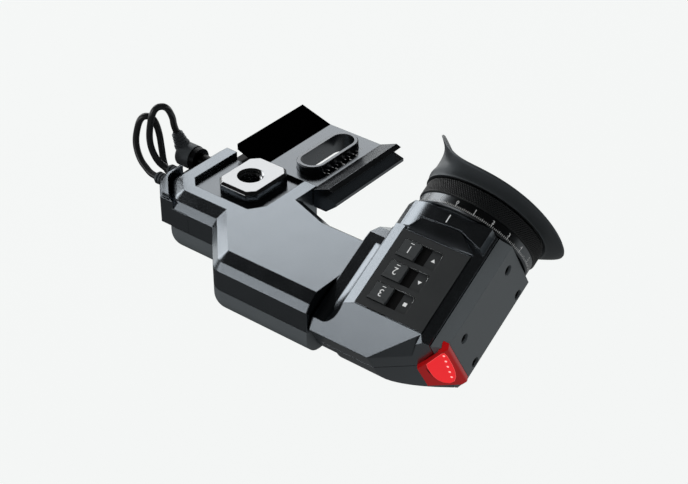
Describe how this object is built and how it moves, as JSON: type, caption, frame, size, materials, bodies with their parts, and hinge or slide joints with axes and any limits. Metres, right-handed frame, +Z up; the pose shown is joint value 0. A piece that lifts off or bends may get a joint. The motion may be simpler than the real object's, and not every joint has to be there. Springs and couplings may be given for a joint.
{
  "type": "camera viewfinder",
  "caption": "Electronic camera viewfinder: an arm with a threaded nut plate and a slotted rail, and a tilting eyepiece with buttons, focusing ring and rubber eyecup.",
  "frame": {"origin": "centre of the threaded hole, at the nut plate's top face", "axes": "+X along the arm towards the eyepiece, +Y towards the eyecup side, +Z up, out of the threaded hole"},
  "size_m": [0.1866, 0.1048, 0.0778],
  "materials": {
    "arm_paint": "satin",
    "black_paint": "satin",
    "nut_steel": "polished",
    "steel": "satin",
    "dark_steel": "satin",
    "anodised": "satin",
    "frame_alloy": "matte",
    "bronze": "satin",
    "black_plastic": "matte",
    "panel_plastic": "satin",
    "black_rubber": "matte",
    "cable_skin": "satin",
    "red_lens": "gloss",
    "clear_glass": "clear",
    "board_green": "matte",
    "display_glass": "gloss",
    "dome_steel": "satin"
  },
  "bodies": {
    "arm": {"top_cover": "arm_paint", "bottom_cover": "arm_paint", "bottom_cover_screws": "dark_steel", "mount_frame": "frame_alloy", "nut_plate": "nut_steel", "nut_plate_screws": "steel", "rail_plate": "black_paint", "rail_plate_screws": "steel", "slot_boss": "anodised", "end_cap": "arm_paint", "connector_socket": "dark_steel", "elbow_plug": "black_rubber", "cable_boot": "black_rubber", "cable_front": "cable_skin", "cable_rear": "cable_skin", "cable_clamp_front": "black_rubber", "cable_clamp_rear": "black_rubber", "boot_rear": "black_rubber", "arm_board": "board_green", "harness": "cable_skin", "hinge_block": "frame_alloy", "hinge_block_screws": "steel", "bush_inner": "bronze", "bush_outer": "bronze", "stop_pin": "steel", "spring_washer": "steel"},
    "eyepiece": {"tilt_shaft": "steel", "stop_disc": "steel", "ring_nut": "steel", "hub_screws": "steel", "housing_frame": "frame_alloy", "main_shell": "arm_paint", "lower_shell": "arm_paint", "lower_shell_screws": "dark_steel", "side_cover": "arm_paint", "side_cover_screws": "dark_steel", "button_panel": "panel_plastic", "button_board": "board_green", "button_domes": "dome_steel", "tally_lens": "red_lens", "tally_board": "board_green", "display_panel": "display_glass", "display_holder": "black_plastic", "main_board": "board_green", "lens_tube": "anodised", "seal_ring": "black_rubber", "eyecup_clip": "steel"},
    "focus_ring": {"diopter_ring": "anodised", "knurled_ring": "anodised", "ring_screws": "dark_steel"},
    "focus_lens": {"lens_carrier": "anodised", "lens_rings": "anodised", "field_lens": "clear_glass", "eye_lens": "clear_glass", "drive_pin": "steel"},
    "eyecup": {"eyecup_ring": "black_plastic", "eyecup": "black_rubber"},
    "button_1": {"button_1": "black_plastic"},
    "button_2": {"button_2": "black_plastic"},
    "button_3": {"button_3": "black_plastic"}
  },
  "joints": [
    {"name": "eyepiece_tilt", "type": "hinge", "parent": "arm", "child": "eyepiece", "pos_m": [0.0698, -0.0246, -0.0164], "axis": [1, 0, 0], "range_deg": [-60, 60]},
    {"name": "focus_turn", "type": "hinge", "parent": "eyepiece", "child": "focus_ring", "pos_m": [0.1013, 0.01267, 0.00904], "axis": [0, 0.866, 0.5], "range_deg": [-60, 60]},
    {"name": "focus_travel", "type": "slide", "parent": "eyepiece", "child": "focus_lens", "axis": [0, 0.866, 0.5], "range_m": [-0.002, 0.002]},
    {"name": "eyecup_turn", "type": "hinge", "parent": "eyepiece", "child": "eyecup", "pos_m": [0.1013, 0.01873, 0.01254], "axis": [0, 0.866, 0.5], "continuous": true},
    {"name": "button_1_press", "type": "slide", "parent": "eyepiece", "child": "button_1", "axis": [0, 0.5, -0.866], "range_m": [0, 0.0008], "stiffness_N_per_m": 900, "springref_m": -0.0006},
    {"name": "button_2_press", "type": "slide", "parent": "eyepiece", "child": "button_2", "axis": [0, 0.5, -0.866], "range_m": [0, 0.0008], "stiffness_N_per_m": 900, "springref_m": -0.0006},
    {"name": "button_3_press", "type": "slide", "parent": "eyepiece", "child": "button_3", "axis": [0, 0.5, -0.866], "range_m": [0, 0.0008], "stiffness_N_per_m": 900, "springref_m": -0.0006}
  ],
  "couplings": [
    {"joint": "focus_turn", "follows": "focus_travel", "rad_per_m": 523.5}
  ]
}
